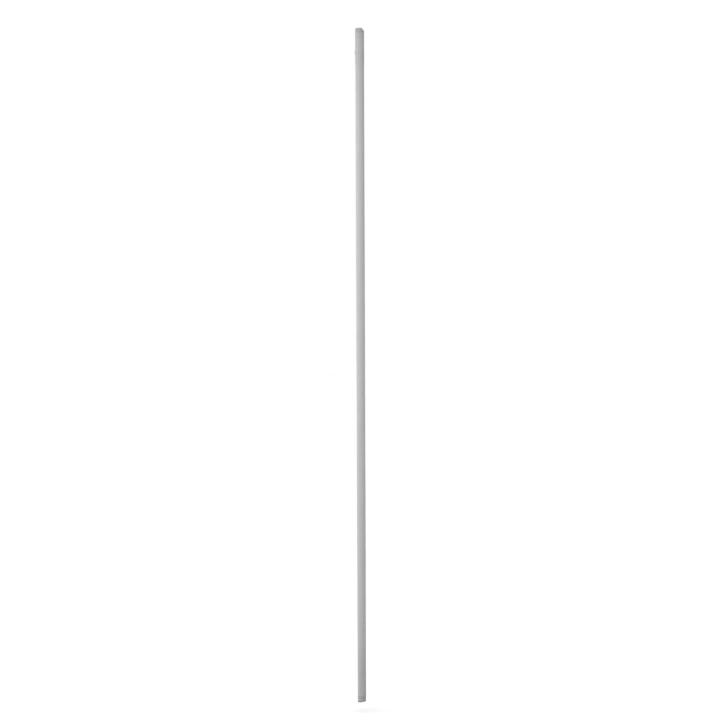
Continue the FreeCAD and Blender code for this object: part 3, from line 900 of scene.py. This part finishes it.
def foot_grit_and_painted_shade(g, colour):
    """Dark grit rubbed into the tip's foot and its worn facet, thickest at their edge, with
    painted shade of the foot's downward-facing edge in the same dark band; the tip is also darker
    towards its top.
    """
    facet = g.product(g.math("SUBTRACT", g.x, WEAR_START / MM), WEAR_SLOPE)
    above = g.math("SUBTRACT", g.z, g.largest(facet, 0.0))
    ragged = g.math("MULTIPLY_ADD", g.noise(1.1, detail=5, roughness=0.65), 2.0, -1.0)
    level = g.math("ADD", above, ragged)
    # Darker towards the foot: grit, and painted shade of the foot's rounded underside edge.
    colour = g.mix(g.span(level, 4.5, 1.2, 0.0, 0.35), colour, dirt_and_shade_grey(0.20))
    # The darkest band, grit together with painted shade along the foot's edge, is thinner on the
    # worn side.
    band = g.math("ADD", level, g.span(g.x, WEAR_START / MM, 1.4, 0.0, 1.3))
    colour = g.mix(g.product(g.span(band, 2.2, 1.1), 0.84), colour, dirt_and_shade_grey(0.12))
    # Darker towards the tip's top.
    colour = g.mix(g.product(g.span(g.z, 4.9, 6.8), 0.38), colour, dirt_and_shade_grey(0.16))
    polished = g.span(g.noise(0.6, detail=5), 0.40, 0.6)
    under = g.product(g.span(above, 0.12, 0.02), polished)
    return g.mix(g.product(under, 0.45), colour, dirt_and_shade_grey(0.34))


def rubber_material(name):
    """Grey rubber, dusty."""
    g = Graph(name)
    cloud = g.noise(2.0, detail=5)
    dust = g.span(g.noise(0.5, detail=5, roughness=0.7), 0.48, 0.7)
    colour = g.times(dirt_and_shade_grey(0.40), g.span(cloud, 0.25, 0.75, 0.85, 1.15))
    colour = g.mix(g.product(dust, 0.35), colour, dirt_and_shade_grey(0.50))
    relief = g.bump(g.noise(0.2, detail=3), 0.02, 0.7)
    return g.finish(colour, g.span(cloud, 0.3, 0.7, 0.68, 0.84), relief, Specular_IOR_Level=0.35)


def metal_material(name, colour, rough, tarnish=None, lines_along_z=False, grime_below=None):
    """Bare metal: fine lines along Z if it is drawn, or round Z, dull patches, bright edges."""
    g = Graph(name)
    if lines_along_z:
        lines = g.noise(0.25, detail=4, at=g.stretched(1.0, 1.0, 0.03))
    else:
        lines = g.noise(0.12, detail=4, at=g.stretched(0.08, 0.08, 1.0))
    patch = g.noise(2.4, detail=5, roughness=0.62)
    pits = g.span(g.noise(0.35, detail=5, roughness=0.7), 0.60, 0.72)
    edge = g.edges(0.15)
    lined = g.span(lines, 0.25, 0.75, 0.92, 1.06)
    patched = g.span(patch, 0.25, 0.75, 0.93, 1.05)
    tinted = g.times(colour, g.product(lined, patched))
    dull = tarnish or tuple(channel * 0.55 for channel in colour[:3]) + (1.0,)
    bright = tuple(min(1, channel * 1.25) for channel in colour)
    tinted = g.mix(g.product(g.span(patch, 0.45, 0.75), 0.45), tinted, dull)
    tinted = g.mix(g.product(pits, 0.5), tinted, dull)
    tinted = g.mix(g.product(edge, 0.3), tinted, bright)
    roughness = g.span(patch, 0.25, 0.75, rough - 0.07, rough + 0.09)
    roughness = g.math("ADD", roughness, g.product(pits, 0.2))
    if grime_below is not None:
        grime = g.product(g.span(g.z, grime_below + 0.4, grime_below), 0.9)
        tinted = g.mix(grime, tinted, dirt_and_shade_grey(0.36))
        roughness = g.math("ADD", roughness, g.product(grime, 0.35))
    relief = g.bump(lines, 0.006, 0.5)
    relief = g.bump(pits, 0.01, 0.5, normal=relief)
    return g.finish(tinted, roughness, relief, Metallic=1.0)


def dress(piece, material):
    """Gives a piece its one material."""
    piece.data.materials.clear()
    piece.data.materials.append(material)


# ----------------------------------------------------------------------------- assembly

MADE = [
    (make_sheeting, "shaft", "reflective_sheeting", "white_sheeting"),
    (make_upper_wrap, "shaft", "top_wrap", "white_sheeting"),
    (make_plug, "shaft", "butt_plug", "plug_nylon"),
    (make_washer, "washer", "cushion_washer", "washer_rubber"),
    (make_tip, "tip", "glide_tip", "tip_nylon"),
    (make_stud, "tip", "tip_stud", "stud_steel"),
]

pieces = {}
for make, body, node, slot in MADE:
    piece = make()
    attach(piece, body)
    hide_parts(node)
    pieces[node] = piece

dress(pieces["reflective_sheeting"], sheeting_material("sheeting_film", SHEET_LAP_EDGE, 0.526))
dress(pieces["top_wrap"], sheeting_material("wrap_film", WRAP_LAP_EDGE, 0.510))
dress(pieces["butt_plug"], nylon_material("plug_nylon", 0.407, 0.5))
dress(pieces["cushion_washer"], rubber_material("washer_rubber"))
dress(pieces["glide_tip"], nylon_material("tip_nylon", 0.409, 0.6, foot=foot_grit_and_painted_shade))
dress(pieces["tip_stud"], metal_material("stud_zinc", (0.62, 0.63, 0.66, 1), 0.34))

nodes = frame["nodes"]
tube_metal = metal_material(
    "tube_aluminium",
    (0.72, 0.73, 0.75, 1),
    0.36,
    lines_along_z=True,
    grime_below=sheet_low / MM + 0.3,
)
dress(nodes["shaft_tube"], tube_metal)
dress(nodes["plug_rivet"], metal_material("rivet_aluminium", (0.74, 0.75, 0.76, 1), 0.30))
dress(nodes["rivet_mandrel"], metal_material("mandrel_steel", (0.50, 0.50, 0.51, 1), 0.42))
brass = metal_material("bush_brass", (0.72, 0.53, 0.25, 1), 0.32, tarnish=(0.30, 0.20, 0.09, 1))
dress(nodes["tip_bush"], brass)
dress(nodes["bush_pin"], metal_material("pin_steel", (0.34, 0.35, 0.37, 1), 0.38))


# ---------------------------------------------------------------- floor, light, camera


def make_floor():
    """A wide pale floor just under the tip's lowest reach."""
    bm = bmesh.new()
    bmesh.ops.create_grid(bm, x_segments=24, y_segments=24, size=FLOOR_HALF)
    bmesh.ops.translate(bm, verts=bm.verts, vec=(0, 0, FLOOR_HEIGHT))
    mesh = bpy.data.meshes.new("floor")
    bm.to_mesh(mesh)
    bm.free()
    floor = bpy.data.objects.new("floor", mesh)
    bpy.context.scene.collection.objects.link(floor)
    material = bpy.data.materials.new("floor_white")
    material.use_nodes = True
    shader = material.node_tree.nodes["Principled BSDF"]
    shader.inputs["Base Color"].default_value = (0.94, 0.94, 0.94, 1)
    shader.inputs["Roughness"].default_value = 0.9
    shader.inputs["Specular IOR Level"].default_value = 0.1
    floor.data.materials.append(material)


def make_world():
    """Soft light, brightest from above and a little from the left, on a white surround."""
    world = bpy.data.worlds.new("studio")
    bpy.context.scene.world = world
    world.use_nodes = True
    nodes, links = world.node_tree.nodes, world.node_tree.links
    nodes.clear()
    where = nodes.new("ShaderNodeTexCoord").outputs["Generated"]
    slope = nodes.new("ShaderNodeVectorMath")
    slope.operation = "DOT_PRODUCT"
    links.new(where, slope.inputs[0])
    slope.inputs[1].default_value = SKY_SLOPE
    level = nodes.new("ShaderNodeMath")
    level.inputs[1].default_value = SKY_LEVEL
    links.new(slope.outputs["Value"], level.inputs[0])
    least = nodes.new("ShaderNodeMath")
    least.operation = "MAXIMUM"
    least.inputs[1].default_value = SKY_LEAST
    links.new(level.outputs[0], least.inputs[0])
    light = nodes.new("ShaderNodeBackground")
    links.new(least.outputs[0], light.inputs["Strength"])
    white = nodes.new("ShaderNodeBackground")
    white.inputs["Strength"].default_value = 1.0
    path = nodes.new("ShaderNodeLightPath")
    blend = nodes.new("ShaderNodeMixShader")
    links.new(path.outputs["Is Camera Ray"], blend.inputs[0])
    links.new(light.outputs[0], blend.inputs[1])
    links.new(white.outputs[0], blend.inputs[2])
    output = nodes.new("ShaderNodeOutputWorld")
    links.new(blend.outputs[0], output.inputs["Surface"])
    light.inputs["Color"].default_value = SKY_COLOUR
    white.inputs["Color"].default_value = (1, 1, 1, 1)


def make_key_light():
    """A round softbox in front of the cane and to its left, a little higher than its top."""
    light = bpy.data.lights.new("key_light", "AREA")
    light.shape = "DISK"
    light.size = KEY_SIZE
    light.energy = KEY_WATTS
    lamp = bpy.data.objects.new("key_light", light)
    lamp.location = KEY_AT
    lamp.rotation_mode = "QUATERNION"
    lamp.rotation_quaternion = (Vector(KEY_AT) - Vector(KEY_AIM)).to_track_quat("Z", "Y")
    bpy.context.scene.collection.objects.link(lamp)


def make_camera():
    """Level, in front of the cane, and rolled a little so that the cane leans slightly."""
    middle = (cad_low.z + cad_high.z) / 2
    camera = bpy.data.cameras.new("camera")
    camera.sensor_width = 36.0
    camera.lens = 36.0 * CAMERA_AWAY / FRAME_HEIGHT
    camera.clip_start, camera.clip_end = 0.05, 200
    holder = bpy.data.objects.new("camera", camera)
    holder.location = (-CAMERA_LEFT, -CAMERA_AWAY, middle + CAMERA_RAISED)
    holder.rotation_euler = (math.radians(90), CAMERA_ROLL, 0)
    bpy.context.scene.collection.objects.link(holder)
    bpy.context.scene.camera = holder


make_floor()
make_world()
make_key_light()
make_camera()
bpy.context.scene.view_settings.view_transform = "Standard"
